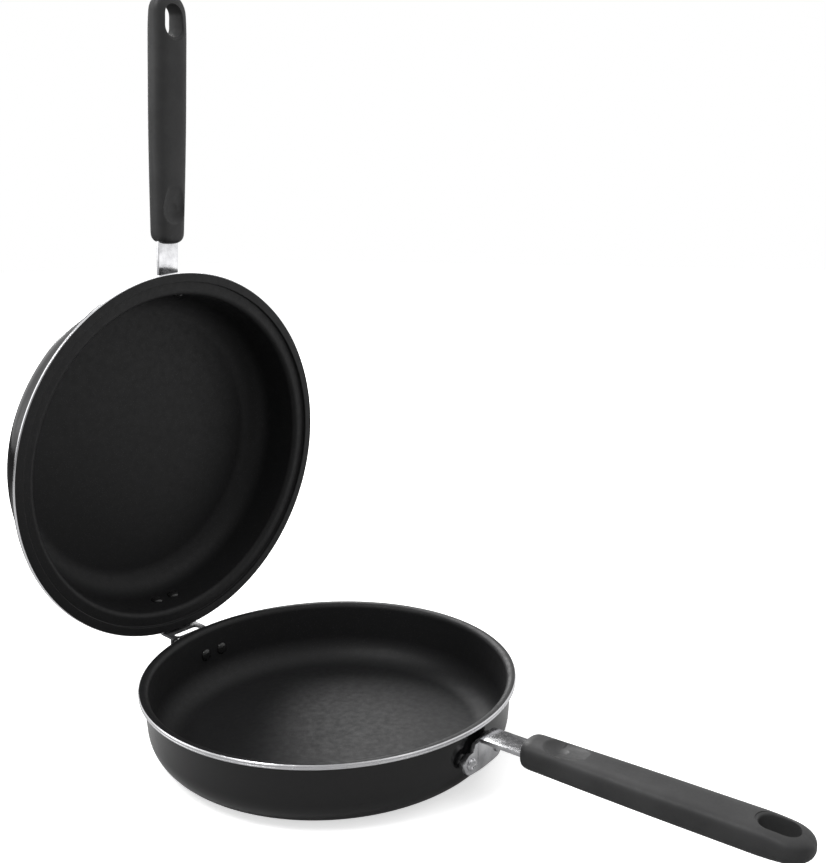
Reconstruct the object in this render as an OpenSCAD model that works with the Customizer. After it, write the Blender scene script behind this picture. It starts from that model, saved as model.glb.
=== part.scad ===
// Double sided flip pan, lying on its lower pan with the upper pan swung open.
// Millimetres. Z is up from the flat base of the lower pan, +X points along the
// lower handle, and the hinge is on the -X side.

/* [Pans] */
// Outer radius of the lower pan's rim
pan_r = 120; // [95:1:160]
// Height of each pan from its base to its seating rim
pan_depth = 45; // [38:1:65]
// Thickness of the pressed sheet
sheet_t = 3; // [2:0.1:4]
// How far the rolled-out lip stands out from the wall
lip_w = 3; // [2.5:0.1:5]
// Radius of the bend under the lip
neck_r = 1; // [0.6:0.1:1.6]
// Lean of the wall from upright, in degrees
wall_taper = 4; // [1:0.5:8]
// Outer radius of the corner between wall and base
corner_r = 22; // [10:1:26]
// Width of the raised ring around the upper pan's rim
ring_w = 6.4; // [4:0.1:10]
// Height of the raised ring that laps over the lower rim
ring_h = 2.5; // [1.5:0.1:3]
// Gap between the lower rim and the raised ring when closed
ring_clear = 3.4; // [0.6:0.1:4]
// Gap left between the two seating rims when closed
seat_gap = 0.3; // [0.2:0.1:0.6]

/* [Hinge] */
// Opening angle of the upper pan on its stop, in degrees
open_angle = 85; // [60:1:100]
// Distance of the hinge pin out from the raised ring's edge
hinge_out = 5; // [4.8:0.1:10]
// Depth of the hinge pin below the lower rim
hinge_drop = 13.5; // [12:0.1:16]
// Diameter of the hinge pin
pin_d = 3.6; // [3:0.1:4.5]
// Radial running clearance of the pin in the knuckles
pin_clear = 0.05; // [0.03:0.01:0.1]
// Sheet thickness of the hinge plates
hinge_t = 1.8; // [1.2:0.1:2.4]
// Width of the hinge plates
hinge_w = 30; // [26:1:40]
// Width of the upper plate's single knuckle
knuckle_w = 19; // [14:0.5:22]
// Side gap between neighbouring knuckles
knuckle_gap = 0.3; // [0.2:0.1:0.6]
// Length of the slot through the upper hinge plate
slot_l = 22; // [16:0.5:24]
// Distance from the raised ring's edge to the slot
slot_offset = 0.8; // [0.4:0.1:1.5]
// Web left between the slot and the upper knuckle
slot_web = 0.3; // [0.2:0.1:1]
// Spacing of the two hinge rivets
hinge_rivet_pitch = 15; // [12:0.5:18]

/* [Rivets] */
// Depth of the hinge rivets below the seating rim
rivet_drop = 18; // [17:0.5:20]
// Diameter of the rivet shanks
rivet_d = 4; // [3:0.1:5]
// Radial clearance of the rivet shanks in their holes
rivet_clear = 0.05; // [0.03:0.01:0.15]
// Diameter of the domed heads inside the pans
dome_d = 8.6; // [7:0.1:10]
// Height of the domed heads inside the pans
dome_h = 2.4; // [1.5:0.1:3]
// Diameter of the rolled rivet heads outside
head_d = 7.2; // [6:0.1:8]
// Height of the rolled rivet heads outside
head_h = 1.5; // [1:0.1:2]
// How far each head's seat sinks into the sheet it clamps
head_bite = 0.35; // [0.2:0.05:0.5]

/* [Handle brackets] */
// Sheet thickness of the handle brackets
bracket_t = 2.5; // [2:0.1:3]
// Gap between the bracket's wings and the wall
standoff = 3; // [2:0.1:4]
// Half the spacing of the bracket's rivets, along the wall
wing_half = 13; // [12:0.5:16]
// Height of the bracket's wings
wing_h = 13; // [11:0.5:14]
// Width of the bracket's arm
arm_w = 16; // [12:0.5:18]
// Depth of the lower arm's centre below the rim
lower_arm_drop = 7.5; // [7:0.1:9.5]
// Depth of the upper arm's centre below the seating rim
upper_arm_drop = 15; // [13:0.1:15.5]
// Depth of the brackets' rivets below the seating rim
wing_drop = 20.5; // [19.5:0.1:21]
// Outer radius of the bend between wing and arm
arm_bend_r = 4; // [3:0.5:5]
// Outer diameter of the spacer bushes
spacer_d = 8; // [7:0.5:10]
// Clearance between the spacer bushes and the bracket's wings
spacer_clear = 0.08; // [0.05:0.01:0.15]
// Width of the lug bent from the arm's end
lug_w = 8; // [6:0.5:9]
// Solid left around the screw hole at the lug's end
lug_rim = 1; // [0.8:0.1:1.4]

/* [Grips] */
// Distance from the lower rim to the grips' near ends
arm_l = 27.5; // [22:0.5:50]
// Length of the grips
grip_l = 158; // [120:1:180]
// Full width of the grips at their widest
grip_w = 25; // [22:0.5:30]
// Full thickness of the grips
grip_t = 17; // [16:0.5:20]
// Width of the grips at the pan end
grip_neck_w = 21.5; // [20:0.5:24]
// How far the arm reaches into the grip
arm_reach = 16; // [12:1:24]
// Clearance around the arm in its socket
socket_clear = 0.2; // [0.1:0.05:0.4]
// Length of the hanging hole
hang_l = 21; // [16:0.5:26]
// Width of the hanging hole
hang_w = 14; // [10:0.5:16]
// Solid left between the hanging hole and the grip's tip
hang_tip = 7; // [6:0.5:12]
// Length of the thumb dimple
dimple_l = 27; // [20:1:34]
// Width of the thumb dimple
dimple_w = 17; // [12:0.5:19]
// Depth of the thumb dimple
dimple_d = 2.2; // [1:0.1:2.6]
// Distance from the grip's near end to the dimple
dimple_x = 13; // [9:1:20]

/* [Tie screws] */
// Diameter of the tie screw's shank
screw_d = 4; // [3:0.1:4.6]
// Radial clearance of the tie screw in the grip
screw_clear = 0.4; // [0.2:0.05:0.6]
// Diameter of the tie screw's head
screw_head_d = 7; // [6:0.1:7.6]
// Height of the tie screw's head
screw_head_h = 2.8; // [2:0.1:3.5]
// Diameter of the spring washer under the head
washer_d = 7.6; // [7:0.1:8]
// Thickness of the spring washer
washer_t = 1; // [0.6:0.1:1.4]
// Width of the weld nut across its corners
nut_w = 6.4; // [6:0.1:7]
// Thickness of the weld nut
nut_t = 3.2; // [2.4:0.1:4]
// Distance of the screw axis from the arm's centre, away from the thumb side
screw_offset = 3.2; // [3:0.1:3.4]

/* [Hidden] */
$fn = 96;

BLACK_ENAMEL = [0.06, 0.06, 0.07];
ZINC = [0.72, 0.73, 0.75];
DARK_STEEL = [0.25, 0.25, 0.26];
PHENOLIC = [0.12, 0.12, 0.12];

eps = 0.01;
wall_top_r = pan_r - lip_w;
lip_z = pan_depth - sheet_t;
step_r = pan_r + ring_clear;
ring_r = step_r + ring_w;
hinge_x = ring_r + hinge_out;
hinge_z = pan_depth - hinge_drop;
knuckle_r = pin_d / 2 + pin_clear + hinge_t;
slot_w = hinge_drop + seat_gap - ring_h - knuckle_r - slot_offset - slot_web;
plate_gap = 0.4;
hinge_flange_end = rivet_drop + dome_d / 2 + 3;
grip_x = pan_r + arm_l;
arm_end = grip_x + arm_reach;
shoulder_half = arm_w / 2 + 2;
lug_h = screw_offset + screw_d / 2 + lug_rim;
bore_r = screw_d / 2 + screw_clear;
hang_x = grip_l - hang_tip - hang_l / 2;
seat_x = hang_x - hang_l / 2;
screw_floor = washer_t + screw_head_h + 1.2;
tip_r = grip_w / 2;
grip_n = 36;

// Outer radius of the wall at a depth below the seating rim.
function wall_r(drop) = wall_top_r - (drop - sheet_t) * tan(wall_taper);

wing_r = wall_r(wing_drop) + standoff;
wing_z = pan_depth - wing_drop;

// Points of an arc, n steps from angle a to angle b.
function arc(c, r, a, b, n = 10) =
    [for (i = [0:n]) c + r * [cos(a + (b - a) * i / n), sin(a + (b - a) * i / n)]];

function unit(v) = v / norm(v);
function left_of(v) = [-v[1], v[0]];

// Rounds the corners of a path to radius r.
function rounded(path, r, n = 6) =
    let (last = len(path) - 1)
    [for (i = [0:last])
        if (i == 0 || i == last) path[i]
        else let (
            a = unit(path[i - 1] - path[i]),
            b = unit(path[i + 1] - path[i]),
            half = acos(a * b) / 2,
            c = path[i] + unit(a + b) * r / sin(half),
            u = path[i] + a * r / tan(half) - c,
            v = path[i] + b * r / tan(half) - c)
        each [for (k = [0:n]) c + r * unit(u * (1 - k / n) + v * k / n)]];

// Outline of a sheet of thickness t along a path.
function sheet_outline(path, t) =
    let (
        last = len(path) - 1,
        side = [for (i = [0:last])
            let (
                a = left_of(unit(path[max(i, 1)] - path[max(i, 1) - 1])),
                b = left_of(unit(path[min(i, last - 1) + 1] - path[min(i, last - 1)])))
            (a + b) / (1 + a * b)])
    concat(
        [for (i = [0:last]) path[i] + side[i] * t / 2],
        [for (i = [last:-1:0]) path[i] - side[i] * t / 2]);

// Centre of the corner between wall and base.
function corner_c() = [
    wall_top_r - (corner_r + (lip_z - corner_r) * sin(wall_taper)) / cos(wall_taper),
    corner_r];

// Centre of the bend that turns the wall out into the lip.
function neck_c() = [
    wall_top_r + neck_r * (1 - sin(wall_taper)) / cos(wall_taper),
    lip_z - neck_r];

// Section of a pan; rim_points are the points of its outer edge.
function pan_outline(rim_points) = concat(
    [[0, 0]],
    arc(corner_c(), corner_r, -90, -wall_taper),
    arc(neck_c(), neck_r, 180 - wall_taper, 90, 5),
    rim_points,
    arc(neck_c(), neck_r + sheet_t, 90, 180 - wall_taper, 8),
    arc(corner_c(), corner_r - sheet_t, -wall_taper, -90),
    [[0, sheet_t]]);

lower_rim = [[pan_r, lip_z], [pan_r, pan_depth]];
upper_rim = [
    [step_r + sheet_t / 2, lip_z],
    [step_r + sheet_t, lip_z + ring_h],
    [ring_r, lip_z + ring_h],
    [ring_r, pan_depth + ring_h],
    [step_r, pan_depth + ring_h],
    [step_r, pan_depth]];

// Puts a shape built like the lower half in the upper half's open place.
module upper_half() {
    translate([-hinge_x, 0, hinge_z])
        rotate([0, -open_angle, 0])
            translate([hinge_x, 0, 2 * pan_depth + seat_gap - hinge_z])
                rotate([180, 0, 0])
                    children();
}

// A sheet strip whose side view follows a path in X and Z, of width w in Y.
module strip(path, t, w) {
    rotate([90, 0, 0])
        linear_extrude(w, center = true)
            polygon(sheet_outline(path, t));
}

// Places children at a pair of rivets: Z points out of the wall at its outside.
module at_rivets(half_pitch, side, drop) {
    angle = asin(half_pitch / wall_r(drop));
    for (s = [-1, 1])
        rotate([0, 0, side + s * angle])
            translate([wall_r(drop), 0, pan_depth - drop])
                rotate([0, 90, 0])
                    children();
}

module at_hinge_rivets() {
    at_rivets(hinge_rivet_pitch / 2, 180, rivet_drop)
        children();
}

module at_bracket_rivets() {
    at_rivets(wing_half, 0, wing_drop)
        children();
}

module rivet_hole() {
    cylinder(h = 60, d = rivet_d + 2 * rivet_clear, center = true);
}

// One rivet from the dome inside the pan to the rolled head at height grip.
module rivet(grip) {
    inside = -sheet_t / cos(wall_taper);
    dome_rise = [for (i = [0:8]) [dome_d / 2 * cos(i * 90 / 8), -dome_h * sin(i * 90 / 8)]];
    rotate_extrude()
        polygon(concat(
            [[0, grip + head_h * 0.55]],
            [[head_d * 0.18, grip + head_h * 0.6]],
            [[head_d * 0.3, grip + head_h]],
            [[head_d * 0.42, grip + head_h * 0.85]],
            [[head_d / 2, grip + head_h * 0.35]],
            [[head_d / 2, grip - head_bite]],
            [[rivet_d / 2, grip - head_bite]],
            [[rivet_d / 2, inside + head_bite]],
            [[dome_d / 2, inside + head_bite]],
            [for (p = dome_rise) [p[0], inside + p[1]]]));
}

module pan(rim_points) {
    difference() {
        rotate_extrude()
            polygon(pan_outline(rim_points));
        at_bracket_rivets()
            rivet_hole();
        at_hinge_rivets()
            rivet_hole();
    }
}

// Everything inside the pan's outer surface, for cutting what seats on it.
module pan_envelope() {
    rotate_extrude()
        polygon(concat(
            [[0, 0]],
            arc(corner_c(), corner_r, -90, -wall_taper),
            [[wall_top_r, lip_z], [0, lip_z]]));
}

// Wings, bent-out arm and screw lug as one stamped piece.
module handle_bracket(arm_drop) {
    arm_z = pan_depth - arm_drop;
    arm_path = rounded([
        [wing_r + bracket_t / 2, wing_z - wing_h / 4],
        [wing_r + bracket_t / 2, arm_z],
        [arm_end - bracket_t, arm_z]], arm_bend_r - bracket_t / 2);
    lug_path = rounded([
        [grip_x, arm_z],
        [arm_end - bracket_t / 2, arm_z],
        [arm_end - bracket_t / 2, arm_z - lug_h]], bracket_t / 2 + 0.4);
    difference() {
        union() {
            intersection() {
                rotate([0, 0, -30])
                    rotate_extrude(angle = 60)
                        translate([wing_r, wing_z - wing_h / 2])
                            square([bracket_t, wing_h + wing_drop]);
                wing_outline(arm_z - wing_z);
            }
            strip(arm_path, bracket_t, arm_w);
            strip(lug_path, bracket_t, lug_w);
        }
        at_bracket_rivets()
            rivet_hole();
        translate([arm_end, 0, arm_z - screw_offset])
            rotate([0, 90, 0])
                cylinder(h = 4 * bracket_t, d = screw_d + 2 * rivet_clear, center = true);
    }
}

// Side-on shape of the wings, with shoulders that rise beside an arm at height rise.
module wing_outline(rise) {
    top = rise - arm_bend_r / 2;
    translate([wing_r, 0, wing_z])
        rotate([90, 0, 90])
            linear_extrude(6 * bracket_t, center = true)
                difference() {
                    union() {
                        for (s = [-1, 1])
                            translate([s * wing_half, 0])
                                circle(d = wing_h);
                        square([2 * wing_half, wing_h], center = true);
                        polygon([
                            [-wing_half, 0],
                            [-shoulder_half - 2, wing_h / 2],
                            [-shoulder_half, top],
                            [shoulder_half, top],
                            [shoulder_half + 2, wing_h / 2],
                            [wing_half, 0]]);
                    }
                    // The arm's bend stands free of the plate behind it.
                    translate([-arm_w / 2 + eps, rise - arm_bend_r])
                        square([arm_w - 2 * eps, wing_h]);
                }
}

module bracket_spacers() {
    difference() {
        at_bracket_rivets()
            difference() {
                translate([0, 0, -2])
                    cylinder(h = standoff + 2, d = spacer_d);
                rivet_hole();
            }
        pan_envelope();
        // Leaves room for the curve of the wing's inner face.
        rotate_extrude()
            translate([wing_r - spacer_clear, 0])
                square([20, pan_depth]);
    }
}

module bracket_rivets() {
    at_bracket_rivets()
        rivet(standoff + bracket_t);
}

module hinge_rivets() {
    at_hinge_rivets()
        rivet(hinge_t);
}

// Smooth rounded section of the grip at distance x, as half width and thickness.
function grip_half(x) =
    let (
        neck = 0.86 + 0.14 * sin(min(90, x / 5 * 90)),
        swell = grip_neck_w + (grip_w - grip_neck_w) * sin(min(90, x / grip_l * 150)),
        u = max(0, (x - (grip_l - tip_r)) / tip_r),
        tip = sqrt(max(0, 1 - u * u)))
    [swell / 2 * neck * max(tip, 0.12), grip_t / 2 * neck * (0.55 + 0.45 * tip)];

// Ring of grip_n points around the grip at distance x.
function grip_ring(x, p = 0.74) =
    let (h = grip_half(x))
    [for (i = [0:grip_n - 1])
        let (c = cos(i * 360 / grip_n), s = sin(i * 360 / grip_n))
        [x, h[0] * sign(c) * pow(abs(c), p), h[1] * sign(s) * pow(abs(s), p)]];

// The two triangles between rings k and k + 1 at point i.
function grip_pair(k, i) =
    let (
        a = k * grip_n + i,
        b = k * grip_n + (i + 1) % grip_n)
    [[a, a + grip_n, b + grip_n], [a, b + grip_n, b]];

grip_stations = concat(
    [0, 1.2, 3, 5],
    [for (i = [1:5]) 5 + (grip_l - tip_r - 5) * i / 6],
    [for (i = [0:7]) grip_l - tip_r + tip_r * sin(i * 90 / 7)]);

// The grip's closed outside, as rings of points joined along its length.
module grip_blank() {
    last = len(grip_stations) - 1;
    polyhedron(
        points = [for (x = grip_stations) each grip_ring(x)],
        faces = concat(
            [[for (i = [0:grip_n - 1]) i]],
            [[for (i = [grip_n - 1:-1:0]) last * grip_n + i]],
            [for (k = [0:last - 1]) for (i = [0:grip_n - 1]) each grip_pair(k, i)]));
}

// Grip with its near end at the origin, thumb side up, screw side down.
module grip() {
    difference() {
        grip_blank();
        hanging_hole();
        thumb_dimple();
        arm_socket();
        screw_bore();
    }
}

module hanging_hole() {
    linear_extrude(2 * grip_t, center = true)
        translate([hang_x, 0]) {
            for (s = [-1, 1])
                translate([s * (hang_l - hang_w) / 2, 0])
                    circle(d = hang_w);
            square([hang_l - hang_w, hang_w], center = true);
        }
}

// Teardrop scoop: a wide shallow ball at the pan end and a small one behind it.
module thumb_dimple() {
    ball_r = (dimple_w * dimple_w / 4 + dimple_d * dimple_d) / (2 * dimple_d);
    tail_r = ball_r / 5;
    hull() {
        translate([dimple_x + dimple_w / 2, 0, grip_t / 2 - dimple_d + ball_r])
            sphere(r = ball_r, $fn = 48);
        translate([dimple_x + dimple_l - tail_r / 2, 0, grip_t / 2 + tail_r - 0.3])
            sphere(r = tail_r, $fn = 24);
    }
}

module arm_socket() {
    depth = arm_reach + nut_t + socket_clear;
    lug_depth = max(lug_h, screw_offset + nut_w / 2) + socket_clear;
    translate([-eps, -arm_w / 2 - socket_clear, -bracket_t / 2 - socket_clear])
        cube([depth, arm_w + 2 * socket_clear, bracket_t + 2 * socket_clear]);
    // Pocket for the lug and the nut behind it.
    translate([-eps, -lug_w / 2 - socket_clear, -lug_depth])
        cube([depth, lug_w + 2 * socket_clear, lug_depth]);
}

module screw_bore() {
    translate([0, 0, -screw_offset])
        rotate([0, 90, 0])
            cylinder(h = hang_x, r = bore_r);
    translate([seat_x - screw_floor, 0, -screw_offset])
        rotate([0, 90, 0])
            cylinder(h = screw_floor + hang_w / 2, d = washer_d + 0.4);
}

// Places children on the grip: X along the grip, origin at its near end.
module at_grip(arm_drop) {
    translate([grip_x, 0, pan_depth - arm_drop])
        children();
}

// Places children on the tie screw's axis.
module at_screw(arm_drop, x) {
    at_grip(arm_drop)
        translate([x, 0, -screw_offset])
            rotate([0, 90, 0])
                children();
}

module tie_screw(arm_drop) {
    head_x = seat_x - screw_floor + washer_t;
    at_screw(arm_drop, head_x)
        difference() {
            cylinder(h = screw_head_h, d = screw_head_d);
            translate([0, 0, screw_head_h])
                cube([1.2, screw_head_d + 1, screw_head_h], center = true);
        }
    tip_x = arm_reach - bracket_t - 1;
    at_screw(arm_drop, tip_x)
        cylinder(h = head_x - tip_x + eps, d = screw_d);
}

module spring_washer(arm_drop) {
    at_screw(arm_drop, seat_x - screw_floor)
        difference() {
            cylinder(h = washer_t, d = washer_d);
            translate([0, 0, -eps])
                cylinder(h = washer_t + 2 * eps, d = screw_d + 2 * rivet_clear);
        }
}

module weld_nut(arm_drop) {
    at_screw(arm_drop, arm_reach)
        difference() {
            cylinder(h = nut_t, d = nut_w, $fn = 6);
            translate([0, 0, -eps])
                cylinder(h = nut_t + 2 * eps, d = screw_d + 2 * rivet_clear);
        }
}

// A tube around the hinge pin between two Y values.
module knuckle(y0, y1) {
    rotate([-90, 0, 0])
        translate([0, 0, y0])
            difference() {
                cylinder(h = y1 - y0, r = knuckle_r);
                translate([0, 0, -1])
                    cylinder(h = y1 - y0 + 2, d = pin_d + 2 * pin_clear);
            }
}

module pin_bore() {
    rotate([90, 0, 0])
        cylinder(h = 2 * hinge_w, d = pin_d + 2 * pin_clear, center = true);
}

// Lower leaf: riveted flange, shelf, two outer knuckles and the stops beyond.
module hinge_leaf() {
    shelf_z = hinge_z - knuckle_r + hinge_t / 2;
    shelf_drop = pan_depth - shelf_z;
    arm_in = knuckle_w / 2 + knuckle_gap;
    arm_out = hinge_w / 2;
    stop_x = knuckle_r + 3.4;
    flange = rounded([
        [-hinge_x + knuckle_r + plate_gap + hinge_t, shelf_z],
        [-wall_r(shelf_drop) - hinge_t / 2, shelf_z],
        [-wall_r(hinge_flange_end) - hinge_t / 2, pan_depth - hinge_flange_end]],
        hinge_t);
    stop_rise = (knuckle_r - hinge_t + (stop_x - hinge_t) * cos(open_angle)) / sin(open_angle);
    difference() {
        union() {
            strip(flange, hinge_t, hinge_w);
            for (s = [-1, 1]) {
                translate([0, s * (arm_in + arm_out) / 2, 0]) {
                    strip([
                        [-hinge_x - stop_x, shelf_z],
                        [-hinge_x + knuckle_r + plate_gap + 2 * hinge_t, shelf_z]],
                        hinge_t, arm_out - arm_in);
                    strip([
                        [-hinge_x - stop_x + hinge_t / 2, shelf_z],
                        [-hinge_x - stop_x + hinge_t / 2, hinge_z + stop_rise - pin_clear]],
                        hinge_t, arm_out - arm_in);
                }
            }
            translate([-hinge_x, 0, hinge_z]) {
                knuckle(arm_in, arm_out);
                knuckle(-arm_out, -arm_in);
            }
        }
        translate([-hinge_x, 0, hinge_z])
            pin_bore();
        at_hinge_rivets()
            rivet_hole();
    }
}

// Upper plate: riveted flange, jog out past the ring, slot and middle knuckle.
module hinge_plate() {
    pin_z = pan_depth + seat_gap + hinge_drop;
    face_x = -hinge_x + knuckle_r - hinge_t / 2;
    jog_z = lip_z - 4;
    jog_drop = pan_depth - jog_z;
    path = rounded([
        [face_x, pin_z],
        [face_x, jog_z + 3],
        [-wall_r(jog_drop + 3) - hinge_t / 2, jog_z - 3],
        [-wall_r(hinge_flange_end) - hinge_t / 2, pan_depth - hinge_flange_end]],
        hinge_t);
    slot_z = pan_depth + ring_h + slot_offset + slot_w / 2;
    difference() {
        union() {
            strip(path, hinge_t, hinge_w);
            translate([-hinge_x, 0, pin_z])
                knuckle(-knuckle_w / 2, knuckle_w / 2);
        }
        translate([-hinge_x, 0, pin_z])
            pin_bore();
        for (s = [-1, 1]) {
            translate([face_x, s * (slot_l - slot_w) / 2, slot_z])
                rotate([0, 90, 0])
                    cylinder(h = 4 * hinge_t, d = slot_w, center = true);
            // Notch that lets the lower leaf's knuckle turn.
            translate([-hinge_x, s * (knuckle_w / 2 + hinge_w), pin_z])
                cube([4 * knuckle_r, 2 * hinge_w, 2 * (knuckle_r + plate_gap)], center = true);
        }
        translate([face_x, 0, slot_z])
            cube([4 * hinge_t, slot_l - slot_w, slot_w], center = true);
        at_hinge_rivets()
            rivet_hole();
    }
}

module lower_pan() {
    color(BLACK_ENAMEL)
        pan(lower_rim);
}

module upper_pan() {
    color(BLACK_ENAMEL)
        upper_half()
            pan(upper_rim);
}

module lower_handle_bracket() {
    color(ZINC)
        handle_bracket(lower_arm_drop);
}

module upper_handle_bracket() {
    color(ZINC)
        upper_half()
            handle_bracket(upper_arm_drop);
}

module lower_bracket_spacers() {
    color(ZINC)
        bracket_spacers();
}

module upper_bracket_spacers() {
    color(ZINC)
        upper_half()
            bracket_spacers();
}

module lower_bracket_rivets() {
    color(ZINC)
        bracket_rivets();
}

module upper_bracket_rivets() {
    color(ZINC)
        upper_half()
            bracket_rivets();
}

module lower_grip() {
    color(PHENOLIC)
        at_grip(lower_arm_drop)
            grip();
}

module upper_grip() {
    color(PHENOLIC)
        upper_half()
            at_grip(upper_arm_drop)
                grip();
}

module lower_tie_screw() {
    color(ZINC)
        tie_screw(lower_arm_drop);
}

module upper_tie_screw() {
    color(ZINC)
        upper_half()
            tie_screw(upper_arm_drop);
}

module lower_spring_washer() {
    color(ZINC)
        spring_washer(lower_arm_drop);
}

module upper_spring_washer() {
    color(ZINC)
        upper_half()
            spring_washer(upper_arm_drop);
}

module lower_weld_nut() {
    color(ZINC)
        weld_nut(lower_arm_drop);
}

module upper_weld_nut() {
    color(ZINC)
        upper_half()
            weld_nut(upper_arm_drop);
}

module lower_hinge_leaf() {
    color(DARK_STEEL)
        hinge_leaf();
}

module upper_hinge_plate() {
    color(DARK_STEEL)
        upper_half()
            hinge_plate();
}

module lower_hinge_rivets() {
    color(BLACK_ENAMEL)
        hinge_rivets();
}

module upper_hinge_rivets() {
    color(BLACK_ENAMEL)
        upper_half()
            hinge_rivets();
}

// The pin is peened over at both ends.
module hinge_pin() {
    color(ZINC)
        translate([-hinge_x, 0, hinge_z])
            rotate([-90, 0, 0]) {
                cylinder(h = hinge_w + 0.4, d = pin_d, center = true);
                for (s = [-1, 1])
                    translate([0, 0, s * (hinge_w / 2 + 0.6)])
                        cylinder(h = 1, d = pin_d + 1.4, center = true);
            }
}

lower_pan();
upper_pan();
lower_handle_bracket();
upper_handle_bracket();
lower_bracket_spacers();
upper_bracket_spacers();
lower_bracket_rivets();
upper_bracket_rivets();
lower_grip();
upper_grip();
lower_tie_screw();
upper_tie_screw();
lower_spring_washer();
upper_spring_washer();
lower_weld_nut();
upper_weld_nut();
lower_hinge_leaf();
upper_hinge_plate();
lower_hinge_rivets();
upper_hinge_rivets();
hinge_pin();
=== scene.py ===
import logging
import math
from dataclasses import dataclass
from enum import Enum
from typing import Sequence

import bmesh
import bpy
import numpy as np
from mathutils import Matrix, Vector


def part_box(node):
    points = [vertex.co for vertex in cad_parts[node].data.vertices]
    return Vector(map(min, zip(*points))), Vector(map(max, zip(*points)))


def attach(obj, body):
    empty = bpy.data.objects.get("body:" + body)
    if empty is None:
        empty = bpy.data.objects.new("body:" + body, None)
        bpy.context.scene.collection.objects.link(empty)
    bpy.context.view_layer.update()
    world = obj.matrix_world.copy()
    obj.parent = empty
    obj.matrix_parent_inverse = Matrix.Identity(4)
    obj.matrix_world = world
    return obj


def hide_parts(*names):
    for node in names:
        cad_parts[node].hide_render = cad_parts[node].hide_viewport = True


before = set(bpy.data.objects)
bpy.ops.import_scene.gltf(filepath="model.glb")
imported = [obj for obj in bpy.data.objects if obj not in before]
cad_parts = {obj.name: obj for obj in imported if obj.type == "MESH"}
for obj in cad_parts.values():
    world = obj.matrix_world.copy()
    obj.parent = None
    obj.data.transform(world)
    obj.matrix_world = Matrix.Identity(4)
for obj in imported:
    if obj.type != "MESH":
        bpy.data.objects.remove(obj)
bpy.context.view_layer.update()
LOG = logging.getLogger("flip_pan")
MM = 0.001
PAN_PLACE = "pan_place"
Point = tuple[float, float]
Colour = tuple[float, float, float]
Mesh = bpy.types.Mesh
Material = bpy.types.Material
Socket = bpy.types.NodeSocket


@dataclass(frozen=True)
class HingePlace:
    """Where the hinge pin lies, and how far the upper pan stands open on it."""

    x: float = 134.8
    z: float = 31.5
    open_angle: float = 85.0
    closed_lift: float = 90.3

    def upper(self) -> Matrix:
        """The matrix that takes a shape built like the lower half to the open upper half.

        Returns:
            A matrix in metres.
        """
        return (
            Matrix.Translation((-self.x * MM, 0, self.z * MM))
            @ Matrix.Rotation(-math.radians(self.open_angle), 4, "Y")
            @ Matrix.Translation((self.x * MM, 0, (self.closed_lift - self.z) * MM))
            @ Matrix.Rotation(math.pi, 4, "X")
        )


HINGE = HingePlace()


class Half(Enum):
    """The two halves of the pan."""

    LOWER = "lower"
    UPPER = "upper"

    @property
    def body(self) -> str:
        """The CAD body this half moves with."""
        return f"{self.value}_half"

    @property
    def place(self) -> Matrix:
        """The matrix from the half's own frame, base down and handle on +X, to the scene."""
        return Matrix.Identity(4) if self is Half.LOWER else HINGE.upper()


class Zone(Enum):
    """The parts of a pan's section that have their own finish."""

    OUTSIDE = "outside"
    EDGE = "edge"
    INSIDE = "inside"


# ---- node trees


class NodeKit:
    """Short calls that build a node tree."""

    def __init__(self, tree: bpy.types.NodeTree) -> None:
        """Keeps the tree.

        Args:
            tree: The tree that the calls add to.
        """
        self.tree = tree

    def fill(self, node: bpy.types.Node, values: dict) -> None:
        """Gives a node's inputs their values.

        Args:
            node: The node.
            values: Sockets to link, or plain values, by input name or number.
        """
        for key, value in values.items():
            if isinstance(value, Socket):
                self.tree.links.new(value, node.inputs[key])
            else:
                node.inputs[key].default_value = value

    def add(self, kind: str, values: dict | None = None, **settings: object) -> bpy.types.Node:
        """Adds a node.

        Args:
            kind: The node's type name.
            values: Sockets or plain values by input name or number.
            **settings: Properties of the node.

        Returns:
            The new node.
        """
        node = self.tree.nodes.new(kind)
        for key, value in settings.items():
            setattr(node, key, value)
        self.fill(node, values or {})
        return node

    def maths(self, operation: str, first: object, second: object = 0.0) -> Socket:
        """Adds a Math node.

        Args:
            operation: The operation's name.
            first: Its first socket or number.
            second: Its second socket or number.

        Returns:
            The result's socket.
        """
        return self.add("ShaderNodeMath", {0: first, 1: second}, operation=operation).outputs[0]

    def toward(self, place: Socket, side: Sequence[float]) -> Socket:
        """How far a place or a direction lies toward a side.

        Args:
            place: The place's socket.
            side: The side's direction.

        Returns:
            The socket of their dot product.
        """
        node = self.add("ShaderNodeVectorMath", {0: place, 1: side}, operation="DOT_PRODUCT")
        return node.outputs["Value"]

    def ranged(
        self, value: Socket, low: float, high: float, to_low: float, to_high: float, soft: bool = False,
    ) -> Socket:
        """Maps a value from one range to another.

        Args:
            value: The socket to map.
            low: Value that becomes to_low.
            high: Value that becomes to_high.
            to_low: Result at low.
            to_high: Result at high.
            soft: Whether the ends of the range ease in and out.

        Returns:
            The mapped socket.
        """
        values = {"Value": value, "From Min": low, "From Max": high, "To Min": to_low, "To Max": to_high}
        kind = "SMOOTHSTEP" if soft else "LINEAR"
        return self.add("ShaderNodeMapRange", values, interpolation_type=kind).outputs["Result"]


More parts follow.
